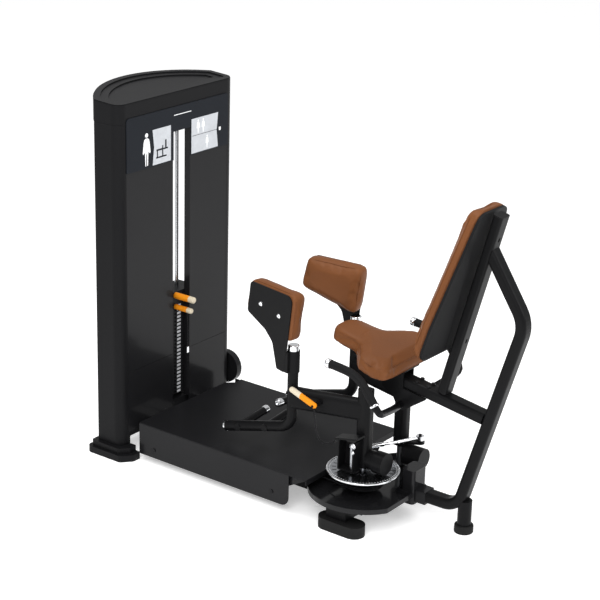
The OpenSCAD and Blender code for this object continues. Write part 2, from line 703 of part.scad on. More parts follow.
// Flat crank from the hub to the tie-rod joint
module crank(z, t, angle) {
    translate([0, 0, z]) rotate(angle) difference() {
        linear_extrude(t) hull() {
            circle(r = 24);
            translate([crank_r, 0]) circle(r = 19);
        }
        translate([0, 0, -1]) cylinder(h = t + 2, r = 20);
    }
}

module near_arm_frame() color(frame_black) from_front() {
    arm_frame(241, 38, 104, 44);
    near_pivot() crank(222, 8, 180 - crank_angle);
    // boss and pin of the range lever
    translate([lever_pivot[0], -196, lever_pivot[2]]) rotate([90, 0, 0]) {
        cylinder(h = 32, r = 10);
        cylinder(h = 58, r = lever_bore);
    }
}
module far_arm_frame() color(frame_black) from_front() mirrored() {
    arm_frame(172, 42, 111);
    near_pivot() crank(217, 10, -crank_angle);
    translate([far_pin[0], -far_pin[1], 226]) cylinder(h = 30, r = pin_bore);
}

module arm_caps() {
    translate([upright_x, -upright_y, collar_z]) rotate_extrude() polygon(concat(
        [[0, 0], [upright_r + 1.5, 0], [upright_r + 1.5, 17]],
        arc(upright_r - 3.5, 17, 5, 0, 90, 4), [[0, 22]]));
    for (s = peg_steps) peg_cap(s);
    rod(peg_tip(0.4), peg_tip(7), upright_r + 0.6);
}
function peg_tip(d) =
    let (p = [foot_end_x + 6, -upright_y, foot_bend_z - (upright_x - foot_end_x - 6) * tan(foot_slope)])
    p + d * [-cos(foot_slope), 0, -sin(foot_slope)];
module peg_cap(s) {
    translate(peg_end(s, peg_len + 0.3)) rotate([-90 + peg_slope, 0, 0]) difference() {
        rotate_extrude() polygon(concat([[0, 0], [cap_r, 0], [cap_r, cap_len - 8]],
            arc(cap_r - 8, cap_len - 8, 8, 0, 90, 5), [[0, cap_len]]));
        translate([0, 0, cap_len - 6]) cylinder(h = 10, r = 5);
    }
}
module near_arm_caps() color(steel) from_front() arm_caps();
module far_arm_caps() color(steel) from_front() mirrored() arm_caps();

module near_range_disc() color(steel) from_front() near_pivot() difference() {
    translate([0, 0, disc_z]) cylinder(h = disc_t, r = disc_r, $fn = 96);
    translate([0, 0, 100]) cylinder(h = 120, r = shaft_r + run_gap);
    for (i = [-4:4]) rotate(plunger_angle + 15 * i) translate([index_r, 0, disc_z - 1])
        cylinder(h = 20, r = 4.4);
}
module cable_cam() color([0.3, 0.3, 0.32]) from_front() near_pivot() difference() {
    union() {
        translate([0, 0, drum_z - 8]) cylinder(h = 16, r = drum_r, $fn = 96);
        translate([0, 0, 124]) cylinder(h = disc_z - 124.3, r = 30);
    }
    translate([0, 0, 100]) cylinder(h = 120, r = shaft_r + run_gap);
}
plunger_angle = -108;
plunger_at = [pivot_x + index_r * cos(plunger_angle), -pivot_y + index_r * sin(plunger_angle), 0];

module index_bracket() color(frame_black) from_front() difference() {
    union() {
        block([977, -206, 199.5], [1050, -156.5, 206]);
        for (x = [977, 1044]) block([x, -206, 205.9], [x + 6, -156.5, 322]);
        translate([977, -206, 321.9]) rotate([0, -12, 0]) block([-12, -2, 0], [92, 49, 7]);
        block([983, -163, 205.9], [1044, -156.5, 300]);
    }
    translate(plunger_at + [0, 0, 190]) cylinder(h = 30, r = 6 + run_gap);
}
module index_plunger() color(steel) from_front() translate(plunger_at) {
    translate([0, 0, disc_z + disc_t + 1]) cylinder(h = 14, r = 4);
    translate([0, 0, disc_z + 12]) cylinder(h = 30, r = 6);
    translate([0, 0, disc_z + 26]) cylinder(h = 84, r = 9);
    translate([0, 0, disc_z + 109.9]) cylinder(h = 8, r = 12);
}

lever_pivot = [884, -240, 447];
lever_tip = [779, -240, 484];
lever_bore = 5;
lever_r = 11.5;
module range_lever() color(orange) from_front() {
    d = lever_tip - lever_pivot;
    span = norm(d);
    translate(lever_pivot) difference() {
        rotate([0, -atan2(-d[0], d[2]), 0]) rotate_extrude() polygon(concat(
            arc(0, 0, lever_r, -90, 0, 6), arc(0, span, lever_r, 0, 90, 6)));
        rotate([90, 0, 0]) cylinder(h = 60, r = lever_bore + run_gap, center = true);
    }
}

cable_route = [[886, -240, 433], [887, -240, 412], [890, -240, 384], [897, -238, 345],
    [908, -232, 312], [928, -222, 298], [950, -212, 302], [966, -205, 312]];
module release_cable() color(rubber) from_front() {
    sweep(spline(cable_route, 4), disc_outline(3.6, 8));
}

// ---------------------------------------------------------------- pads

module on_upright() {
    translate([upright_x, -upright_y, 0]) rotate(-pad_toe) children();
}
module pad_plate() on_upright() {
    difference() {
        union() {
            translate([0, 0, sleeve_z]) cylinder(h = collar_z - sleeve_z - 1, r = upright_r + 4);
            block([-19, pad_back_y - 5, sleeve_z + 2], [3, -12, collar_z - 6]);
        }
        translate([0, 0, sleeve_z - 1]) cylinder(h = 100, r = upright_r + run_gap);
    }
    plate_xz(soften([[-206, 864, 14], [22, 857, 28], [-2, 657, 60], [-17, 543, 6],
        [-56, 548, 6], [-82, 650, 40], [-123, 690, 40], [-222, 739, 14]]), pad_back_y - 5.5, 5);
}
// Cushion outline in the pad's own plane
function pad_outline(g) = soften([[-214 + g, 868 - g, 20], [34 - g, 862 - g, 20],
    [9 - g, 663 + g, 20], [-240 + g, 741 + g, 20]], 5);
module pad_cushion() on_upright() hull() {
    plate_xz(pad_outline(5), pad_back_y, 8);
    plate_xz(pad_outline(0), pad_back_y + 9, pad_thick - 24);
    plate_xz(pad_outline(12), pad_back_y + pad_thick - 1, 1);
}
module near_pad_plate() color(frame_black) from_front() pad_plate();
module near_pad_cushion() color(leather) from_front() pad_cushion();
module far_pad_plate() color(frame_black) from_front() mirrored() pad_plate();
module far_pad_cushion() color(leather) from_front() mirrored() pad_cushion();

// ---------------------------------------------------------------- tie rod and fasteners

crank_side = crank_r * [cos(crank_angle), sin(crank_angle)];
near_pin = [pivot_x - crank_side[0], -pivot_y + crank_side[1], rod_z];
far_pin = [pivot_x + crank_side[0], pivot_y + crank_side[1], rod_z];
pin_bore = 6;
module tie_rod() color(steel) from_front() {
    d = unit(far_pin - near_pin);
    span = norm(far_pin - near_pin);
    translate(near_pin - [0, 0, 9]) cylinder(h = 18, r = 16);
    translate(far_pin - [0, 0, 9]) difference() {
        cylinder(h = 18, r = 16);
        translate([0, 0, -1]) cylinder(h = 20, r = pin_bore + run_gap);
    }
    rod(near_pin + d * 12, near_pin + d * (span - 14), 6);
    rod(near_pin + d * 40, near_pin + d * 130, 8.5);
    rod(near_pin + d * 190, near_pin + d * 250, 8.5);
    translate(near_pin + [0, 0, 8.9]) cylinder(h = 8, r = 9, $fn = 6);
}

module frame_fasteners() color(steel) from_front() {
    both_sides() for (x = [140, 745]) translate([x, -deck_w / 2 - 0.2, 62 + x * 0.01])
        rotate([90, 0, 0]) cylinder(h = 3, r = 9);
    for (x = [1200, 1250]) for (side = [-1, 1])
        translate([x, side * 18, rail_z + rail_h / 2 - (x - rail_x) * tan(rail_tilt) + 0.8])
            rotate([0, rail_tilt, 0]) cylinder(h = 5, r = 8);
}

near_column();
far_column();
column_feet();
tower_beams();
cable_cam();
top_cap();
near_front_panel();
far_front_panel();
lower_covers();
placard_plate();
instruction_cards();
guide_rods();
stack_bumpers();
lower_plates();
pulley_brackets();
drive_cable();
platform_deck();
platform_skirts();
underframe();
pivot_tray();
base_foot_pads();
base_cross_beam();
pivot_shafts();
rear_loop();
leg_ring();
rear_housing();
seat_rail();
seat_bracket();
seat_pan();
seat_cushion();
back_post();
back_post_cap();
back_shell();
back_cushion();
handle_tube();
handle_grips();
frame_fasteners();
head_plate();
selected_plate();
selector_pin();
increment_pin();
lift_cable();
top_pulley();
bottom_pulley();
pin_lanyard();
lanyard_tag();
near_range_disc();
near_arm_frame();
near_arm_caps();
index_bracket();
index_plunger();
range_lever();
release_cable();
far_arm_frame();
far_arm_caps();
near_pad_plate();
near_pad_cushion();
far_pad_plate();
far_pad_cushion();
tie_rod();
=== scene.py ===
"""Hip abductor machine: finishes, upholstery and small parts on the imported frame."""
import math

import bmesh
import bpy
from bpy.props import FloatProperty, FloatVectorProperty, IntProperty, PointerProperty
from mathutils import Matrix, Vector
from mathutils.bvhtree import BVHTree


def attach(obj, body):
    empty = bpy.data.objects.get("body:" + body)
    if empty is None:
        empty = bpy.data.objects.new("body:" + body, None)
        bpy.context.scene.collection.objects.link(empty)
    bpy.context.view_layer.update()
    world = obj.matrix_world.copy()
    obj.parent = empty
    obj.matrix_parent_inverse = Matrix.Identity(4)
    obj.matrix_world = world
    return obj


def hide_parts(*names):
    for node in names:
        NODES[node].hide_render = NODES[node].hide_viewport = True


bl_info = {
    "name": "Hip abductor machine",
    "version": (1, 0, 0),
    "blender": (4, 5, 0),
    "location": "3D View > Sidebar > Abductor",
    "description": "Builds the finishes, cushions and small parts of a hip abductor machine",
    "category": "Add Mesh",
}

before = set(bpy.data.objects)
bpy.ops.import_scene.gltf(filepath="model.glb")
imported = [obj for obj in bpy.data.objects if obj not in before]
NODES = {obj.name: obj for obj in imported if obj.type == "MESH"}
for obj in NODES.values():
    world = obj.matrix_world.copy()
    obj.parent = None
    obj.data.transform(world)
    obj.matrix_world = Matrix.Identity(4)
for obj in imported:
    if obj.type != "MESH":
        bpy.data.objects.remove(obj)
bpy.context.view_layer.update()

FRONT = -0.677                          # the tower front in the frame's X
NEAR_PIVOT = (FRONT + 1.046, -0.130)    # X and Y of the near arm's shaft

SEAT_TILT = math.radians(8.8)
SEAT_BASE = Vector((FRONT + 1.168, 0, 0.602))   # on the underside of the seat cushion
SEAT_SEAMS = (0.0085, 0.0445)                   # heights of the piped seams above that side
BACK_TILT = math.radians(17.4)
BACK_BASE = Vector((FRONT + 1.282, 0, 0.700))
BACK_SEAMS = (0.006, 0.0365)
PAD_TOE = math.radians(8.6)
PAD_SWIVEL = (FRONT + 0.757, 0.207, 0.75)       # the far pad's; the near one mirrors its Y
PAD_BACK = 0.031                                # from the swivel out to the cushion's back
PAD_SEAMS = (0.010, 0.056)
PAD_SCREWS = ((-0.1502, 0.785), (-0.0501, 0.763))   # (place along the pad, Z)
SCREWS_OUT = 0.0365                             # from the swivel out to the plate they sit on

DISC_TOP = 0.1942                       # the range disc's upper face
MARKS_Z = 0.19455
PLATE_FACE = FRONT + 0.00365            # the placard plate's front
CARD_FACE = FRONT + 0.00515             # the instruction cards' front
LABEL_AT = (FRONT - 0.0316, 0.043)      # X and Y of the plate labels
LABEL_SIZE = (0.0006, 0.022, 0.0095)
CLOTH_FRAMES = 20

# Routes in millimetres from the tower front, the same as the frame's own cables.
RELEASE_ROUTE = [(886, -240, 433), (887, -240, 412), (890, -240, 384), (897, -238, 345),
                 (908, -232, 312), (928, -222, 298), (950, -212, 302), (966, -205, 312)]
LANYARD_ROUTE = [(34, 20, 542), (35, 20, 525), (36, 21, 470), (37, 20, 430), (37, 20, 392)]

# The handle's grips: Y of both sides, then the centre's X and Z and the axis of each turned part.
GRIP_SIDES = (-0.287, 0.287)
GRIP_END, GRIP_END_AXIS = (FRONT + 0.972, 0.660), (0.996, 0, -0.086)
GRIP_START, GRIP_START_AXIS = (FRONT + 1.1862, 0.5497), (0.593, 0, -0.805)
STUD_AT = (FRONT + 1.140, -0.2655, 0.1017)      # on the tray's underside
BOLTS_AT = (FRONT + 1.047, -0.206)              # X and Y on the bracket's near face
BOLTS = ((0.3125, 1.15), (0.286, 0.7))          # (Z, size against a pad screw)

# Turned profiles: (radius, distance along the axis).
RIM_PROFILE = [(0.1352, 0.0), (0.1358, 0.0012), (0.1418, 0.0012), (0.1430, 0.0),
               (0.1430, -0.0060), (0.1422, -0.0068), (0.1422, 0.0), (0.1352, 0.0)]
GRIP_CAP = [(0, -0.0045), (0.0125, -0.0045), (0.0168, -0.0022), (0.0180, 0.0015),
            (0.0180, 0.0165), (0.0167, 0.0165), (0.0167, -0.0003), (0, -0.0003)]
GRIP_RING = [(0.0142, 0), (0.0182, 0), (0.0187, 0.0010), (0.0187, 0.0070), (0.0182, 0.0080),
             (0.0142, 0.0080), (0.0142, 0)]
TRAY_STUD = [(0, 0), (0.0085, 0), (0.0085, 0.020), (0.0070, 0.0225), (0, 0.0225)]
SCREW = [(0, 0.0016), (0.0030, 0.0016), (0.0032, 0.0034), (0.0058, 0.0034), (0.0074, 0.0022),
         (0.0076, 0.0009), (0.0095, 0.0009), (0.0098, 0.0002), (0, 0.0002)]

# Half of a plain standing figure of height 1: (distance from its middle, height).
FIGURE = [(0.018, 0.36), (0.022, 0.0), (0.055, 0.0), (0.075, 0.42), (0.150, 0.36), (0.170, 0.40),
          (0.130, 0.70), (0.095, 0.80), (0.030, 0.83)]

GRIP_CREAM = (0.66, 0.58, 0.44)
NEAR_BLACK = (0.010, 0.010, 0.011)

CAMERA_AT = (4.392 + FRONT, -5.128, 3.055)
CAMERA_RIGHT = Vector((0.8004, 0.5990, 0.0258))
CAMERA_BACK = Vector((0.5562, -0.7578, 0.3412))
CAMERA_LENS = 103.57


# ------------------------------------------------------------------ sizes and colours

class FinishSettings(bpy.types.PropertyGroup):
    leather: FloatVectorProperty(name="Leather", description="Colour of the upholstery",
                                 subtype="COLOR", default=(0.160, 0.058, 0.020), min=0, max=1)
    frame_paint: FloatVectorProperty(name="Frame paint", description="Colour of the frame tubes",
                                     subtype="COLOR", default=(0.006, 0.006, 0.0065), min=0, max=1)
    panel: FloatVectorProperty(name="Panels", description="Colour of the glossy panels",
                               subtype="COLOR", default=(0.010, 0.010, 0.011), min=0, max=1)
    accent: FloatVectorProperty(name="Accent", description="Colour of the pins and the lever",
                                subtype="COLOR", default=(0.80, 0.27, 0.012), min=0, max=1)


class CushionSettings(bpy.types.PropertyGroup):
    voxel: FloatProperty(name="Cloth step", description="Spacing of the cloth points",
                         unit="LENGTH", default=0.006, min=0.004, max=0.01)
    pressure: FloatProperty(name="Pressure", description="Pressure inside each cushion",
                            default=4.0, min=0.0, max=10.0)
    piping: FloatProperty(name="Piping radius", description="Radius of the piped seams",
                          unit="LENGTH", default=0.0017, min=0.001, max=0.005)


class StackSettings(bpy.types.PropertyGroup):
    plates: IntProperty(name="Plates", description="Number of labelled plates", default=24,
                        min=1, max=30)
    pitch: FloatProperty(name="Pitch", description="Height of one plate", unit="LENGTH",
                         default=0.01685, min=0.01, max=0.03)
    first: FloatProperty(name="First plate", description="Middle of the lowest plate",
                         unit="LENGTH", default=0.16693, min=0.1, max=0.3)


# ------------------------------------------------------------------ node helpers

def link(tree, a, b):
    tree.links.new(a, b)


def node(tree, kind, **values):
    n = tree.nodes.new(kind)
    for key, value in values.items():
        if key in n.inputs:
            n.inputs[key].default_value = value
        else:
            setattr(n, key, value)
    return n


def new_group(name, inputs, outputs, kind="ShaderNodeTree"):
    """A node group with its sockets, and its input and output nodes."""
    group = bpy.data.node_groups.new(name, kind)
    for label, socket, value in inputs:
        s = group.interface.new_socket(label, in_out="INPUT", socket_type=socket)
        if value is not None:
            s.default_value = value
    for label, socket in outputs:
        group.interface.new_socket(label, in_out="OUTPUT", socket_type=socket)
    return group, group.nodes.new("NodeGroupInput"), group.nodes.new("NodeGroupOutput")


def surface_group():
    """Cloudy colour, uneven roughness and a fine texture, shared by every hard finish."""
    name = "Surface variation"
    if name in bpy.data.node_groups:
        return bpy.data.node_groups[name]
    g, i, o = new_group(name, [
        ("Vector", "NodeSocketVector", None), ("Colour", "NodeSocketColor", (0.5, 0.5, 0.5, 1)),
        ("Roughness", "NodeSocketFloat", 0.4), ("Cloud scale", "NodeSocketFloat", 5.0),
        ("Colour spread", "NodeSocketFloat", 0.15), ("Roughness spread", "NodeSocketFloat", 0.08),
        ("Grain scale", "NodeSocketFloat", 600.0), ("Grain depth", "NodeSocketFloat", 0.1)],
        [("Colour", "NodeSocketColor"), ("Roughness", "NodeSocketFloat"),
         ("Normal", "NodeSocketVector")])
    cloud = node(g, "ShaderNodeTexNoise", Detail=4.0, Roughness=0.6)
    link(g, i.outputs["Vector"], cloud.inputs["Vector"])
    link(g, i.outputs["Cloud scale"], cloud.inputs["Scale"])
    centre = node(g, "ShaderNodeMath", operation="SUBTRACT")
    link(g, cloud.outputs["Fac"], centre.inputs[0])
    centre.inputs[1].default_value = 0.5
    spread = node(g, "ShaderNodeMath", operation="MULTIPLY")
    link(g, centre.outputs[0], spread.inputs[0])
    link(g, i.outputs["Colour spread"], spread.inputs[1])
    shade = node(g, "ShaderNodeMath", operation="ADD")
    link(g, spread.outputs[0], shade.inputs[0])
    shade.inputs[1].default_value = 1.0
    tint = node(g, "ShaderNodeVectorMath", operation="SCALE")
    link(g, i.outputs["Colour"], tint.inputs[0])
    link(g, shade.outputs[0], tint.inputs["Scale"])
    link(g, tint.outputs[0], o.inputs["Colour"])
    uneven = node(g, "ShaderNodeMath", operation="MULTIPLY_ADD")
    link(g, centre.outputs[0], uneven.inputs[0])
    link(g, i.outputs["Roughness spread"], uneven.inputs[1])
    link(g, i.outputs["Roughness"], uneven.inputs[2])
    link(g, uneven.outputs[0], o.inputs["Roughness"])
    grain = node(g, "ShaderNodeTexNoise", Detail=2.0, Roughness=0.5)
    link(g, i.outputs["Vector"], grain.inputs["Vector"])
    link(g, i.outputs["Grain scale"], grain.inputs["Scale"])
    bump = node(g, "ShaderNodeBump", Distance=0.0006)
    link(g, i.outputs["Grain depth"], bump.inputs["Strength"])
    link(g, grain.outputs["Fac"], bump.inputs["Height"])
    link(g, bump.outputs["Normal"], o.inputs["Normal"])
    return g


def finish_material(name, colour, rough, metallic=0.0, cloud=5.0, spread=0.2, uneven=0.1,
                    grain=600.0, depth=0.1, coat=0.0, stretch=(1, 1, 1), specular=0.08):
    mat = bpy.data.materials.new(name)
    mat.use_nodes = True
    t = mat.node_tree
    bsdf = t.nodes["Principled BSDF"]
    bsdf.inputs["Metallic"].default_value = metallic
    bsdf.inputs["Specular IOR Level"].default_value = specular
    bsdf.inputs["Coat Weight"].default_value = coat
    bsdf.inputs["Coat Roughness"].default_value = 0.08
    coords = node(t, "ShaderNodeTexCoord")
    place = node(t, "ShaderNodeMapping")
    place.inputs["Scale"].default_value = stretch
    link(t, coords.outputs["Object"], place.inputs["Vector"])
    g = node(t, "ShaderNodeGroup")
    g.node_tree = surface_group()
    link(t, place.outputs["Vector"], g.inputs["Vector"])
    for key, value in (("Colour", (*colour, 1)), ("Roughness", rough), ("Cloud scale", cloud),
                       ("Colour spread", spread), ("Roughness spread", uneven),
                       ("Grain scale", grain), ("Grain depth", depth)):
        g.inputs[key].default_value = value
    link(t, g.outputs["Colour"], bsdf.inputs["Base Color"])
    link(t, g.outputs["Roughness"], bsdf.inputs["Roughness"])
    link(t, g.outputs["Normal"], bsdf.inputs["Normal"])
    return mat


def leather_material(name, colour):
    """Pebbled upholstery with soft creases."""
    mat = finish_material(name, colour, 0.46, cloud=9.0, spread=0.35, uneven=0.16, grain=260.0,
                          depth=0.25, specular=0.12)
    t = mat.node_tree
    bsdf = t.nodes["Principled BSDF"]
    place = next(n for n in t.nodes if n.type == "MAPPING")
    pebble = node(t, "ShaderNodeTexVoronoi", Scale=420.0, Randomness=1.0,
                  feature="DISTANCE_TO_EDGE")
    link(t, place.outputs["Vector"], pebble.inputs["Vector"])
    crease = node(t, "ShaderNodeTexNoise", Scale=16.0, Detail=5.0, Roughness=0.65, Distortion=0.8)
    link(t, place.outputs["Vector"], crease.inputs["Vector"])
    fold = node(t, "ShaderNodeBump", Strength=0.10, Distance=0.004)
    link(t, crease.outputs["Fac"], fold.inputs["Height"])
    pits = node(t, "ShaderNodeBump", Strength=0.35, Distance=0.0007)
    link(t, pebble.outputs["Distance"], pits.inputs["Height"])
    link(t, fold.outputs["Normal"], pits.inputs["Normal"])
    link(t, pits.outputs["Normal"], bsdf.inputs["Normal"])
    return mat


def tipped_material(name, colour, tip, x_change, sign):
    """Moulded grip in one colour with an end of another, changing along X."""
    mat = finish_material(name, colour, 0.34, cloud=40.0, spread=0.10, grain=900.0, depth=0.06)
    t = mat.node_tree
    coords = next(n for n in t.nodes if n.type == "TEX_COORD")
    g = next(n for n in t.nodes if n.type == "GROUP")
    split = node(t, "ShaderNodeSeparateXYZ")
    link(t, coords.outputs["Object"], split.inputs[0])
    ramp = node(t, "ShaderNodeMapRange")
    ramp.inputs["From Min"].default_value = x_change - 0.0008 * sign
    ramp.inputs["From Max"].default_value = x_change + 0.0008 * sign
    link(t, split.outputs["X"], ramp.inputs["Value"])
    mix = node(t, "ShaderNodeMix", data_type="RGBA")
    mix.inputs["A"].default_value = (*colour, 1)
    mix.inputs["B"].default_value = (*tip, 1)
    link(t, ramp.outputs["Result"], mix.inputs["Factor"])
    link(t, mix.outputs["Result"], g.inputs["Colour"])
    return mat


def brushed_disc_material(name, centre):
    """Turned steel with fine rings round the pivot."""
    mat = finish_material(name, (0.34, 0.35, 0.37), 0.20, metallic=1.0, cloud=12.0, spread=0.15,
                          grain=500.0, depth=0.02)
    t = mat.node_tree
    place = next(n for n in t.nodes if n.type == "MAPPING")
    place.inputs["Location"].default_value = (-centre[0], -centre[1], 0)
    rings = node(t, "ShaderNodeTexWave", wave_type="RINGS", rings_direction="Z", Scale=260.0,
                 Distortion=0.6, Detail=2.0)
    link(t, place.outputs["Vector"], rings.inputs["Vector"])
    bump = node(t, "ShaderNodeBump", Strength=0.12, Distance=0.0003)
    link(t, rings.outputs["Fac"], bump.inputs["Height"])
    link(t, bump.outputs["Normal"], t.nodes["Principled BSDF"].inputs["Normal"])
    return mat


def paint(names, mat):
    for n in names:
        data = NODES[n].data
        data.materials.clear()
        data.materials.append(mat)


# ------------------------------------------------------------------ mesh helpers

def mesh_object(name, bm, mat, smooth=True):
    mesh = bpy.data.meshes.new(name)
    for face in bm.faces:
        face.smooth = smooth
    bm.to_mesh(mesh)
    bm.free()
    mesh.materials.append(mat)
    obj = bpy.data.objects.new(name, mesh)
    bpy.context.scene.collection.objects.link(obj)
    return obj


def angles(count):
    return [2 * math.pi * k / count for k in range(count)]


def add_tube(bm, path, radius, sides, closed=False):
    """Round tube along a list of points."""
    n = len(path)
    rings = []
    side = None
    for k, p in enumerate(path):
        a = path[(k - 1) % n] if closed or k else p
        b = path[(k + 1) % n] if closed or k < n - 1 else p
        t = (b - a).normalized()
        side = (side - t * side.dot(t)) if side else t.orthogonal()
        side.normalize()
        up = t.cross(side)
        rings.append([bm.verts.new(p + radius * (math.cos(c) * side + math.sin(c) * up))
                      for c in angles(sides)])
    for k in range(n if closed else n - 1):
        r0, r1 = rings[k], rings[(k + 1) % n]
        turn = 0
        if closed and k == n - 1:
            turn = min(range(sides), key=lambda s: (r0[0].co - r1[s].co).length)
        for j in range(sides):
            bm.faces.new((r0[j], r0[(j + 1) % sides], r1[(j + 1 + turn) % sides],
                          r1[(j + turn) % sides]))
    if not closed:
        bm.faces.new(rings[0][::-1])
        bm.faces.new(rings[-1])
    bmesh.ops.recalc_face_normals(bm, faces=bm.faces)


def smooth_path(points, steps):
    """Points on one smooth curve through the given ones."""
    out = []
    for i in range(len(points) - 1):
        a, b = points[max(i - 1, 0)], points[i]
        c, d = points[i + 1], points[min(i + 2, len(points) - 1)]
        for j in range(steps):
            t = j / steps
            out.append(0.5 * (2 * b + (c - a) * t + (2 * a - 5 * b + 4 * c - d) * t * t
                              + (3 * b - a - 3 * c + d) * t * t * t))
    return out + [points[-1]]


def add_lathe(bm, centre, axis, profile, sides):
    """Turned ring or cap: profile points are (radius, distance along the axis)."""
    axis = Vector(axis).normalized()
    side = axis.orthogonal().normalized()
    up = axis.cross(side)
    centre = Vector(centre)
    rings = []
    for r, h in profile:
        if r < 1e-6:
            rings.append([bm.verts.new(centre + axis * h)])
        else:
            rings.append([bm.verts.new(centre + axis * h
                                       + r * (math.cos(a) * side + math.sin(a) * up))
                          for a in angles(sides)])
    for r0, r1 in zip(rings, rings[1:]):
        for j in range(sides):
            corners = (r0[j % len(r0)], r0[(j + 1) % len(r0)],
                       r1[(j + 1) % len(r1)], r1[j % len(r1)])
            corners = list(dict.fromkeys(corners))      # one corner fewer at a tip
            if len(corners) > 2:
                bm.faces.new(corners)


def welded(data):
    bm = bmesh.new()
    bm.from_mesh(data)
    bmesh.ops.remove_doubles(bm, verts=bm.verts, dist=1e-5)
    return bm


def section(node_name, point, normal, spacing=0.012):
    """Evenly spaced closed outline where a plane cuts a CAD solid."""
    bm = welded(NODES[node_name].data)
    cut = bmesh.ops.bisect_plane(bm, geom=bm.verts[:] + bm.edges[:] + bm.faces[:],
                                 plane_co=point, plane_no=normal, clear_outer=True,
                                 clear_inner=True)
    edges = [e for e in cut["geom_cut"] if isinstance(e, bmesh.types.BMEdge)]
    after = {}
    for e in edges:
        a, b = e.verts
        after.setdefault(a, []).append(b)
        after.setdefault(b, []).append(a)
    start = next(iter(after))
    loop = [start]
    while len(loop) <= len(after):
        step = next((v for v in after[loop[-1]] if v not in loop[-2:]), None)
        if step is None or step is start:
            break
        loop.append(step)
    points = [v.co.copy() for v in loop]
    bm.free()
    return resample(points, spacing)


def resample(points, spacing):
    """The same closed outline with evenly spaced points."""
    closed = points + [points[0]]
    lengths = [(b - a).length for a, b in zip(closed, closed[1:])]
    total = sum(lengths)
    count = max(12, int(total / spacing))
    out, k, done = [], 0, 0.0
    for i in range(count):
        want = total * i / count
        while done + lengths[k] < want:
            done += lengths[k]
            k += 1
        out.append(closed[k].lerp(closed[k + 1], (want - done) / max(lengths[k], 1e-9)))
    return out


def evaluated_copy(obj):
    return bpy.data.meshes.new_from_object(
        obj.evaluated_get(bpy.context.evaluated_depsgraph_get()))


def apply_modifiers(obj):
    data = evaluated_copy(obj)
    obj.modifiers.clear()
    obj.data = data
    return data


def inflate(obj, fixed, cap, settings):
    """Blows a mesh up as cloth, holding the fixed points; no point moves further than cap."""
    base = obj.vertex_groups.new(name="base")
    base.add(fixed, 1.0, "REPLACE")
    cloth = obj.modifiers.new("Stuffing", "CLOTH").settings
    cloth.use_pressure = True
    cloth.uniform_pressure_force = settings.pressure
    cloth.vertex_group_mass = "base"
    cloth.tension_stiffness = 14
    cloth.compression_stiffness = 14
    cloth.bending_stiffness = 0.6
    cloth.quality = 6
    cloth.effector_weights.gravity = 0.0
    scene = bpy.context.scene
    for f in range(1, CLOTH_FRAMES + 1):
        scene.frame_set(f)
    blown = evaluated_copy(obj)
    obj.modifiers.clear()
    moved = [v.co.copy() for v in blown.vertices]
    bpy.data.meshes.remove(blown)
    scene.frame_set(1)
    for v, to in zip(obj.data.vertices, moved):
        d = to - v.co
        v.co += d if d.length <= cap else d * (cap / d.length)
    obj.vertex_groups.clear()


def soft_cushion(name, source, mat, flat_point, flat_normal, cap, crown, settings):
    """Upholstered form from a CAD solid: remeshed, blown up as cloth and kept flat at its base."""
    data = NODES[source].data.copy()
    obj = bpy.data.objects.new(name, data)
    bpy.context.scene.collection.objects.link(obj)
    bm = welded(data)
    bm.to_mesh(data)
    bm.free()
    remesh = obj.modifiers.new("Even mesh", "REMESH")
    remesh.mode = "VOXEL"
    remesh.voxel_size = settings.voxel * 1
    smooth = obj.modifiers.new("Soft edges", "SMOOTH")
    smooth.factor = 0.6
    smooth.iterations = 8
    data = apply_modifiers(obj)
    normal = Vector(flat_normal).normalized()
    depth = [(v.co - flat_point).dot(normal) for v in data.vertices]
    top = max(depth)
    inflate(obj, [i for i, d in enumerate(depth) if d < top * 0.16], cap, settings)
    for v, d in zip(data.vertices, depth):
        v.co += normal * crown(v.co) * max(0.0, (d / top - 0.3) / 0.7)
    finish = obj.modifiers.new("Finer mesh", "SUBSURF")
    finish.levels = finish.render_levels = 1
    relax = obj.modifiers.new("Relax", "SMOOTH")
    relax.factor = 0.5
    relax.iterations = 4
    data = apply_modifiers(obj)
    data.materials.clear()
    data.materials.append(mat)
    for p in data.polygons:
        p.use_smooth = True
    return obj


def piping_on(name, cushion, loops, radius, mat):
    """Piped seams that lie on a cushion's own surface."""
    tree = BVHTree.FromObject(cushion, bpy.context.evaluated_depsgraph_get())
    bm = bmesh.new()
    for loop in loops:
        path = []
        for p in loop:
            hit, nrm, _, _ = tree.find_nearest(p)
            path.append(hit + nrm * radius * 0.35)
        for _ in range(3):
            path = [(path[i - 1] + path[i] * 2 + path[(i + 1) % len(path)]) / 4
                    for i in range(len(path))]
        add_tube(bm, path, radius, 8, closed=True)
    return mesh_object(name, bm, mat)


# ------------------------------------------------------------------ finishes

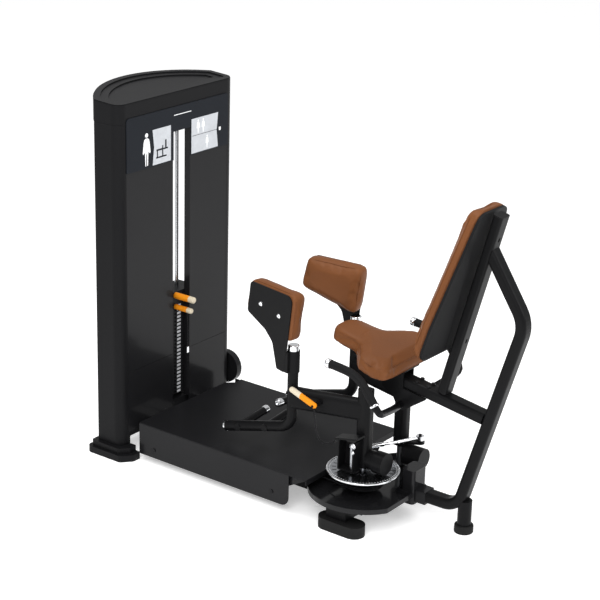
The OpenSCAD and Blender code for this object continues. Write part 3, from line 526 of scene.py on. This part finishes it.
class ABD_OT_finishes(bpy.types.Operator):
    """Gives every hard part of the frame its finish"""
    bl_idname = "abductor.finishes"
    bl_label = "Finishes"

    def execute(self, context):
        s = context.scene.abductor_finish
        powder = finish_material("Satin powder coat", s.frame_paint, 0.36, cloud=7.0, spread=0.3,
                                 uneven=0.12, grain=1400.0, depth=0.16)
        tower = finish_material("Tower satin black", (0.008, 0.008, 0.0088), 0.40, cloud=3.0,
                                spread=0.25, uneven=0.10, grain=1200.0, depth=0.12)
        gloss = finish_material("Gloss panel", s.panel, 0.24, cloud=2.5, spread=0.25, uneven=0.10,
                                grain=300.0, depth=0.03, coat=0.12)
        deck = finish_material("Deck sheet", NEAR_BLACK, 0.38, cloud=3.5, spread=0.3,
                               uneven=0.14, grain=900.0, depth=0.10)
        tray = finish_material("Gloss tray", NEAR_BLACK, 0.16, cloud=3.0, spread=0.2,
                               uneven=0.08, grain=400.0, depth=0.02, coat=0.2)
        chrome = finish_material("Bright chrome", (0.80, 0.81, 0.83), 0.12, metallic=1.0,
                                 cloud=30.0, spread=0.08, uneven=0.08, grain=800.0, depth=0.02)
        rod = finish_material("Drawn rod steel", (0.55, 0.56, 0.58), 0.20, metallic=1.0,
                              cloud=20.0, spread=0.12, grain=300.0, depth=0.05,
                              stretch=(1, 1, 0.03))
        steel = finish_material("Turned steel", (0.42, 0.43, 0.45), 0.30, metallic=1.0,
                                cloud=25.0, spread=0.2, grain=700.0, depth=0.08)
        iron = finish_material("Coated plate", (0.011, 0.011, 0.012), 0.36, cloud=16.0,
                               spread=0.4, uneven=0.15, grain=900.0, depth=0.2)
        rubber = finish_material("Black rubber", (0.014, 0.014, 0.014), 0.62, cloud=10.0,
                                 spread=0.4, uneven=0.12, grain=1000.0, depth=0.3)
        grip = finish_material("Grip foam", (0.009, 0.009, 0.0095), 0.55, cloud=25.0, spread=0.5,
                               uneven=0.15, grain=1500.0, depth=0.5)
        moulded = finish_material("Textured moulding", (0.010, 0.010, 0.0105), 0.48, cloud=6.0,
                                  spread=0.3, uneven=0.12, grain=1100.0, depth=0.35)
        jacket = finish_material("Cable jacket", (0.012, 0.012, 0.013), 0.30, cloud=40.0,
                                 spread=0.3, grain=900.0, depth=0.1)
        card = finish_material("Placard sheet", (0.010, 0.012, 0.016), 0.30, cloud=5.0,
                               spread=0.25, uneven=0.08, grain=400.0, depth=0.02)
        grey = finish_material("Card print", (0.52, 0.54, 0.57), 0.38, cloud=50.0, spread=0.3,
                               grain=700.0, depth=0.02)
        paint(["near_column", "far_column", "top_cap", "tower_beams", "column_feet"], tower)
        paint(["near_front_panel", "far_front_panel", "lower_covers", "platform_skirts"], gloss)
        paint(["platform_deck"], deck)
        paint(["pivot_tray", "rear_housing"], tray)
        paint(["underframe", "base_cross_beam", "rear_loop", "seat_rail", "seat_bracket",
               "back_post", "handle_tube", "near_arm_frame", "far_arm_frame", "near_pad_plate",
               "far_pad_plate", "index_bracket", "pulley_brackets"], powder)
        paint(["guide_rods"], rod)
        paint(["near_arm_caps", "far_arm_caps", "tie_rod", "lanyard_tag"], chrome)
        paint(["frame_fasteners"], jacket)
        paint(["pivot_shafts", "index_plunger"], steel)
        paint(["cable_cam"], tray)
        paint(["lower_plates", "selected_plate", "head_plate"], iron)
        paint(["stack_bumpers", "base_foot_pads", "leg_ring"], rubber)
        paint(["handle_grips"], grip)
        paint(["back_shell", "seat_pan", "back_post_cap", "top_pulley", "bottom_pulley"], moulded)
        paint(["drive_cable", "lift_cable", "release_cable", "pin_lanyard"], jacket)
        paint(["placard_plate"], card)
        paint(["instruction_cards"], grey)
        for name, label, tip_x, sign in (("selector_pin", "Selector grip", 0.036, 1),
                                         ("increment_pin", "Increment grip", 0.046, 1),
                                         ("range_lever", "Lever grip", 0.822, -1)):
            paint([name], tipped_material(label, s.accent, GRIP_CREAM, FRONT + tip_x, sign))
        paint(["near_range_disc"], brushed_disc_material("Turned disc", NEAR_PIVOT))
        finish_material("White print", (0.86, 0.87, 0.88), 0.42, cloud=50.0, spread=0.08,
                        grain=600.0, depth=0.02)    # the disc marks and the placard use it
        return {"FINISHED"}


# ------------------------------------------------------------------ upholstery

def leather():
    return bpy.data.materials.get("Brown leather") or leather_material(
        "Brown leather", bpy.context.scene.abductor_finish.leather)


def seam_leather():
    c = bpy.context.scene.abductor_finish.leather
    return bpy.data.materials.get("Seam leather") or leather_material(
        "Seam leather", (c[0] * 0.88, c[1] * 0.86, c[2] * 0.86))


class ABD_OT_seat(bpy.types.Operator):
    """Builds the saddle seat cushion with its piped edges"""
    bl_idname = "abductor.seat"
    bl_label = "Seat cushion"

    def execute(self, context):
        s = context.scene.abductor_cushion
        up = Vector((math.sin(SEAT_TILT), 0, math.cos(SEAT_TILT)))

        def crown(p):
            return 0.004 - 0.006 * min(1.0, (abs(p.y) / 0.2) ** 2)

        obj = soft_cushion("seat_upholstery", "seat_cushion", leather(), SEAT_BASE, up, 0.010,
                           crown, s)
        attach(obj, "machine_frame")
        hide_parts("seat_cushion")
        seams = [section("seat_cushion", SEAT_BASE + up * d, up) for d in SEAT_SEAMS]
        trim = piping_on("seat_piping", obj, seams, s.piping, seam_leather())
        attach(trim, "machine_frame")
        return {"FINISHED"}


class ABD_OT_backrest(bpy.types.Operator):
    """Builds the backrest cushion with its piped edges"""
    bl_idname = "abductor.backrest"
    bl_label = "Backrest cushion"

    def execute(self, context):
        s = context.scene.abductor_cushion
        out = Vector((-math.cos(BACK_TILT), 0, math.sin(BACK_TILT)))

        def crown(p):
            return 0.005 - 0.008 * min(1.0, (abs(p.y) / 0.16) ** 2)

        obj = soft_cushion("back_upholstery", "back_cushion", leather(), BACK_BASE, out, 0.010,
                           crown, s)
        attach(obj, "machine_frame")
        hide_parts("back_cushion")
        seams = [section("back_cushion", BACK_BASE + out * d, out) for d in BACK_SEAMS]
        trim = piping_on("back_piping", obj, seams, s.piping, seam_leather())
        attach(trim, "machine_frame")
        return {"FINISHED"}


class ABD_OT_pads(bpy.types.Operator):
    """Builds the two leg pads with their piped edges"""
    bl_idname = "abductor.pads"
    bl_label = "Leg pads"

    def execute(self, context):
        s = context.scene.abductor_cushion
        for side, prefix in ((-1, "near"), (1, "far")):
            inward = Vector((math.sin(PAD_TOE), -side * math.cos(PAD_TOE), 0))
            pivot = Vector((PAD_SWIVEL[0], side * PAD_SWIVEL[1], PAD_SWIVEL[2]))
            base = pivot - inward * PAD_BACK

            def crown(p, at=Vector((FRONT + 0.66, side * 0.2, 0.78))):
                r = (p - at).length / 0.12
                return 0.006 * max(0.0, 1 - r * r)

            obj = soft_cushion(prefix + "_pad_upholstery", prefix + "_pad_cushion", leather(),
                               base, inward, 0.007, crown, s)
            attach(obj, prefix + "_pad")
            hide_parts(prefix + "_pad_cushion")
            seams = [section(prefix + "_pad_cushion", base + inward * d, inward)
                     for d in PAD_SEAMS]
            trim = piping_on(prefix + "_pad_piping", obj, seams, s.piping, seam_leather())
            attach(trim, prefix + "_pad")
        return {"FINISHED"}


# ------------------------------------------------------------------ stack labels

def label_tree():
    """A column of thin blocks, one for each plate."""
    g, i, o = new_group("Plate labels", [
        ("Count", "NodeSocketInt", 20), ("Pitch", "NodeSocketFloat", 0.0168),
        ("First", "NodeSocketVector", (0, 0, 0)),
        ("Size", "NodeSocketVector", (0.001, 0.02, 0.01)),
        ("Material", "NodeSocketMaterial", None)],
        [("Geometry", "NodeSocketGeometry")], "GeometryNodeTree")
    line = node(g, "GeometryNodeMeshLine")
    link(g, i.outputs["Count"], line.inputs["Count"])
    link(g, i.outputs["First"], line.inputs["Start Location"])
    step = node(g, "ShaderNodeCombineXYZ")
    link(g, i.outputs["Pitch"], step.inputs["Z"])
    link(g, step.outputs[0], line.inputs["Offset"])
    card = node(g, "GeometryNodeMeshCube")
    link(g, i.outputs["Size"], card.inputs["Size"])
    put = node(g, "GeometryNodeInstanceOnPoints")
    link(g, line.outputs["Mesh"], put.inputs["Points"])
    link(g, card.outputs["Mesh"], put.inputs["Instance"])
    real = node(g, "GeometryNodeRealizeInstances")
    link(g, put.outputs["Instances"], real.inputs["Geometry"])
    set_mat = node(g, "GeometryNodeSetMaterial")
    link(g, real.outputs["Geometry"], set_mat.inputs["Geometry"])
    link(g, i.outputs["Material"], set_mat.inputs["Material"])
    link(g, set_mat.outputs["Geometry"], o.inputs["Geometry"])
    return g


def ring_tree():
    """Small blocks set round a circle and pointing at its middle."""
    g, i, o = new_group("Ring of marks", [
        ("Count", "NodeSocketInt", 24), ("Radius", "NodeSocketFloat", 0.1),
        ("Size", "NodeSocketVector", (0.01, 0.002, 0.0005)),
        ("Centre", "NodeSocketVector", (0, 0, 0)), ("Material", "NodeSocketMaterial", None)],
        [("Geometry", "NodeSocketGeometry")], "GeometryNodeTree")
    circle = node(g, "GeometryNodeMeshCircle")
    link(g, i.outputs["Count"], circle.inputs["Vertices"])
    link(g, i.outputs["Radius"], circle.inputs["Radius"])
    mark = node(g, "GeometryNodeMeshCube")
    link(g, i.outputs["Size"], mark.inputs["Size"])
    place = node(g, "GeometryNodeInputPosition")
    turn = node(g, "FunctionNodeAlignRotationToVector")
    turn.axis = "X"
    link(g, place.outputs["Position"], turn.inputs["Vector"])
    put = node(g, "GeometryNodeInstanceOnPoints")
    link(g, circle.outputs["Mesh"], put.inputs["Points"])
    link(g, mark.outputs["Mesh"], put.inputs["Instance"])
    link(g, turn.outputs["Rotation"], put.inputs["Rotation"])
    real = node(g, "GeometryNodeRealizeInstances")
    link(g, put.outputs["Instances"], real.inputs["Geometry"])
    move = node(g, "GeometryNodeTransform")
    link(g, real.outputs["Geometry"], move.inputs["Geometry"])
    link(g, i.outputs["Centre"], move.inputs["Translation"])
    set_mat = node(g, "GeometryNodeSetMaterial")
    link(g, move.outputs["Geometry"], set_mat.inputs["Geometry"])
    link(g, i.outputs["Material"], set_mat.inputs["Material"])
    link(g, set_mat.outputs["Geometry"], o.inputs["Geometry"])
    return g


def grown(name, tree, values):
    """Mesh object made by a Geometry Nodes tree with the given inputs."""
    obj = bpy.data.objects.new(name, bpy.data.meshes.new(name))
    bpy.context.scene.collection.objects.link(obj)
    mod = obj.modifiers.new("Build", "NODES")
    mod.node_group = tree
    for item in tree.interface.items_tree:
        if item.item_type == "SOCKET" and item.in_out == "INPUT" and item.name in values:
            mod[item.identifier] = values[item.name]
    apply_modifiers(obj)
    return obj


class ABD_OT_labels(bpy.types.Operator):
    """Puts a blank pale label on the front of every plate"""
    bl_idname = "abductor.labels"
    bl_label = "Plate labels"

    def execute(self, context):
        s = context.scene.abductor_stack
        pale = finish_material("Label sheet", (0.55, 0.56, 0.58), 0.45, cloud=60.0, spread=0.2,
                               grain=500.0, depth=0.02)
        tree = label_tree()
        for name, body, count, start in (("plate_labels", "machine_frame", s.plates - 1, 0),
                                         ("top_plate_label", "lifted_stack", 1, s.plates - 1)):
            obj = grown(name, tree, {
                "Count": count, "Pitch": s.pitch,
                "First": (*LABEL_AT, s.first + start * s.pitch), "Size": LABEL_SIZE,
                "Material": pale})
            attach(obj, body)
        return {"FINISHED"}


# ------------------------------------------------------------------ small parts

class ABD_OT_disc_rim(bpy.types.Operator):
    """Adds the bright rim and index marks of the range disc"""
    bl_idname = "abductor.disc_rim"
    bl_label = "Range disc rim"

    def execute(self, context):
        bright = finish_material("Disc rim", (0.78, 0.79, 0.81), 0.15, metallic=1.0, cloud=20.0,
                                 spread=0.1, grain=900.0, depth=0.03)
        bm = bmesh.new()
        add_lathe(bm, (*NEAR_PIVOT, DISC_TOP), (0, 0, 1), RIM_PROFILE, 96)
        bmesh.ops.remove_doubles(bm, verts=bm.verts, dist=1e-5)
        bmesh.ops.recalc_face_normals(bm, faces=bm.faces)
        rim = mesh_object("disc_rim", bm, bright)
        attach(rim, "range_disc")
        tree = ring_tree()
        for name, count, radius, size, mat in (
                ("disc_marks_dark", 24, 0.112, (0.016, 0.0030, 0.0005), "Cable jacket"),
                ("disc_marks_light", 72, 0.130, (0.005, 0.0016, 0.0005), "White print")):
            marks = grown(name, tree, {
                "Count": count, "Radius": radius, "Size": size,
                "Centre": (*NEAR_PIVOT, MARKS_Z),
                "Material": bpy.data.materials[mat]})
            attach(marks, "range_disc")
        return {"FINISHED"}


class ABD_OT_trim(bpy.types.Operator):
    """Adds the grip caps and rings, the tray stud, the pad screws and the bracket bolts"""
    bl_idname = "abductor.trim"
    bl_label = "Bright trim"

    def execute(self, context):
        chrome = bpy.data.materials["Bright chrome"]
        bm = bmesh.new()
        for y in GRIP_SIDES:
            for (x, z), axis, profile in ((GRIP_END, GRIP_END_AXIS, GRIP_CAP),
                                          (GRIP_START, GRIP_START_AXIS, GRIP_RING)):
                add_lathe(bm, (x, y, z), axis, profile, 40)
        bmesh.ops.remove_doubles(bm, verts=bm.verts, dist=1e-6)
        bmesh.ops.recalc_face_normals(bm, faces=bm.faces)
        add_lathe(bm, STUD_AT, (0, 0, -1), TRAY_STUD, 24)
        ends = mesh_object("grip_trim", bm, chrome)
        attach(ends, "machine_frame")
        for side, prefix in ((-1, "near"), (1, "far")):
            bm = bmesh.new()
            out = (-math.sin(PAD_TOE), side * math.cos(PAD_TOE), 0)
            for along, z in PAD_SCREWS:
                x = along * math.cos(PAD_TOE) - SCREWS_OUT * math.sin(PAD_TOE)
                y = -along * math.sin(PAD_TOE) - SCREWS_OUT * math.cos(PAD_TOE)
                add_lathe(bm, (PAD_SWIVEL[0] + x, side * (PAD_SWIVEL[1] - y), z), out, SCREW, 28)
            bmesh.ops.recalc_face_normals(bm, faces=bm.faces)
            screws = mesh_object(prefix + "_pad_screws", bm, chrome)
            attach(screws, prefix + "_pad")
        bm = bmesh.new()
        for z, scale in BOLTS:
            add_lathe(bm, (*BOLTS_AT, z), (0, -1, 0), [(r * scale, h) for r, h in SCREW], 28)
        bmesh.ops.recalc_face_normals(bm, faces=bm.faces)
        bolts = mesh_object("bracket_bolts", bm, chrome)
        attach(bolts, "near_arm")
        return {"FINISHED"}


def add_print(bm, outline, x, thick=0.0005):
    """Thin flat shape facing the seat, from (y, z) points."""
    back = [bm.verts.new((x, y, z)) for y, z in outline]
    front = [bm.verts.new((x + thick, y, z)) for y, z in outline]
    bm.faces.new(back[::-1])
    bm.faces.new(front)
    for k in range(len(outline)):
        m = (k + 1) % len(outline)
        bm.faces.new((back[k], back[m], front[m], front[k]))


def disc_points(y, z, r, count=20):
    return [(y + r * math.cos(a), z + r * math.sin(a)) for a in angles(count)]


def block_points(y0, z0, y1, z1):
    return [(y0, z0), (y1, z0), (y1, z1), (y0, z1)]


def figure(y, z, h):
    """Outlines of a standing figure's body and head: height h, feet at z."""
    half = [(a * h, z + b * h) for a, b in FIGURE]
    return ([(y + a, b) for a, b in half] + [(y - a, b) for a, b in half[::-1]],
            disc_points(y, z + 0.92 * h, 0.065 * h))


class ABD_OT_placard(bpy.types.Operator):
    """Prints plain figures and blocks on the placard"""
    bl_idname = "abductor.placard"
    bl_label = "Placard print"

    def execute(self, context):
        white = bpy.data.materials["White print"]
        dark = bpy.data.materials["Placard sheet"]
        bm = bmesh.new()
        for outline in (*figure(-0.195, 1.213, 0.135), block_points(0.252, 1.274, 0.264, 1.288),
                        block_points(-0.03, 1.386, 0.075, 1.389)):
            add_print(bm, outline, PLATE_FACE)
        for y, z, height in ((0.118, 1.287, 0.058), (0.150, 1.287, 0.058), (0.175, 1.216, 0.055)):
            for outline in figure(y, z, height):
                add_print(bm, outline, CARD_FACE)
        light = mesh_object("placard_figures", bm, white, smooth=False)
        bm = bmesh.new()
        for ends in ((0.080, 1.2805, 0.236, 1.2820),
                     (-0.140, 1.232, -0.078, 1.238), (-0.104, 1.238, -0.098, 1.280),
                     (-0.138, 1.262, -0.104, 1.269), (-0.098, 1.262, -0.070, 1.268),
                     (-0.136, 1.238, -0.130, 1.262), (-0.086, 1.268, -0.078, 1.300)):
            add_print(bm, block_points(*ends), CARD_FACE)
        lines = mesh_object("placard_lines", bm, dark, smooth=False)
        for obj in (light, lines):
            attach(obj, "machine_frame")
        return {"FINISHED"}


class ABD_OT_cable(bpy.types.Operator):
    """Replaces the release cable and the pin lanyard with smooth round ones"""
    bl_idname = "abductor.cable"
    bl_label = "Cables"

    def execute(self, context):
        jacket = bpy.data.materials["Cable jacket"]
        for name, node_name, body, radius, points in (
                ("release_cable_sleeve", "release_cable", "near_arm", 0.0036, RELEASE_ROUTE),
                ("lanyard_cord", "pin_lanyard", "selector", 0.0015, LANYARD_ROUTE)):
            path = smooth_path([Vector((FRONT + x / 1000, y / 1000, z / 1000))
                                for x, y, z in points], 8)
            bm = bmesh.new()
            add_tube(bm, path, radius, 16)
            obj = mesh_object(name, bm, jacket)
            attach(obj, body)
            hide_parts(node_name)
        return {"FINISHED"}


# ------------------------------------------------------------------ stage

def add_area(name, at, target, size, power):
    data = bpy.data.lights.new(name, "AREA")
    data.energy = power
    data.size = size
    lamp = bpy.data.objects.new(name, data)
    lamp.location = at
    lamp.rotation_euler = (Vector(target) - Vector(at)).to_track_quat("-Z", "Y").to_euler()
    bpy.context.scene.collection.objects.link(lamp)


class ABD_OT_stage(bpy.types.Operator):
    """Adds the floor, the lights and the camera"""
    bl_idname = "abductor.stage"
    bl_label = "Stage"

    def execute(self, context):
        bm = bmesh.new()
        bmesh.ops.create_grid(bm, x_segments=1, y_segments=1, size=90)
        floor_mat = finish_material("Studio floor", (0.97, 0.97, 0.97), 0.9, cloud=1.0,
                                    spread=0.01, uneven=0.02, grain=20.0, depth=0.0, specular=0.1)
        glow = floor_mat.node_tree.nodes["Principled BSDF"]
        glow.inputs["Emission Color"].default_value = (1, 1, 1, 1)
        glow.inputs["Emission Strength"].default_value = 0.4
        floor = mesh_object("studio_floor", bm, floor_mat)
        scene = context.scene
        scene.world = scene.world or bpy.data.worlds.new("Studio")
        scene.world.use_nodes = True
        sky = scene.world.node_tree.nodes["Background"]
        sky.inputs["Color"].default_value = (1, 1, 1, 1)
        sky.inputs["Strength"].default_value = 0.6
        scene.view_settings.view_transform = "Standard"
        scene.view_settings.look = "None"
        scene.view_settings.exposure = 0.0
        add_area("key", (1.6, -3.4, 3.6), (0, 0, 0.6), 2.4, 110)
        add_area("side", (3.6, 1.0, 2.6), (0.2, 0, 0.6), 2.0, 60)
        add_area("top", (-0.6, -0.6, 4.2), (0, 0, 0.5), 2.4, 70)
        camera = bpy.data.objects.new("camera", bpy.data.cameras.new("camera"))
        camera.data.lens = CAMERA_LENS
        camera.data.sensor_width = 36
        back = CAMERA_BACK.normalized()
        up = back.cross(CAMERA_RIGHT.normalized()).normalized()
        right = up.cross(back).normalized()
        turn = Matrix([[right[i], up[i], back[i]] for i in range(3)])
        camera.matrix_world = Matrix.Translation(CAMERA_AT) @ turn.to_4x4()
        scene.collection.objects.link(camera)
        scene.camera = camera
        return {"FINISHED"}


class ABD_PT_panel(bpy.types.Panel):
    bl_label = "Hip abductor machine"
    bl_idname = "ABD_PT_panel"
    bl_space_type = "VIEW_3D"
    bl_region_type = "UI"
    bl_category = "Abductor"

    def draw(self, context):
        scene = context.scene
        for group in (scene.abductor_finish, scene.abductor_cushion, scene.abductor_stack):
            box = self.layout.box()
            for key in group.__annotations__:
                box.prop(group, key)
        for op in OPERATORS:
            self.layout.operator(op.bl_idname)


OPERATORS = (ABD_OT_stage, ABD_OT_finishes, ABD_OT_cable, ABD_OT_disc_rim, ABD_OT_labels,
             ABD_OT_trim, ABD_OT_placard, ABD_OT_seat, ABD_OT_backrest, ABD_OT_pads)
GROUPS = (FinishSettings, CushionSettings, StackSettings)


def register():
    for cls in GROUPS + OPERATORS + (ABD_PT_panel,):
        bpy.utils.register_class(cls)
    bpy.types.Scene.abductor_finish = PointerProperty(type=FinishSettings)
    bpy.types.Scene.abductor_cushion = PointerProperty(type=CushionSettings)
    bpy.types.Scene.abductor_stack = PointerProperty(type=StackSettings)


def unregister():
    del bpy.types.Scene.abductor_stack
    del bpy.types.Scene.abductor_cushion
    del bpy.types.Scene.abductor_finish
    for cls in reversed(GROUPS + OPERATORS + (ABD_PT_panel,)):
        bpy.utils.unregister_class(cls)


def main():
    register()
    bpy.ops.abductor.stage()
    bpy.ops.abductor.finishes()
    bpy.ops.abductor.cable()
    bpy.ops.abductor.disc_rim()
    bpy.ops.abductor.labels()
    bpy.ops.abductor.trim()
    bpy.ops.abductor.placard()
    bpy.ops.abductor.seat()
    bpy.ops.abductor.backrest()
    bpy.ops.abductor.pads()


if __name__ == "__main__":
    main()
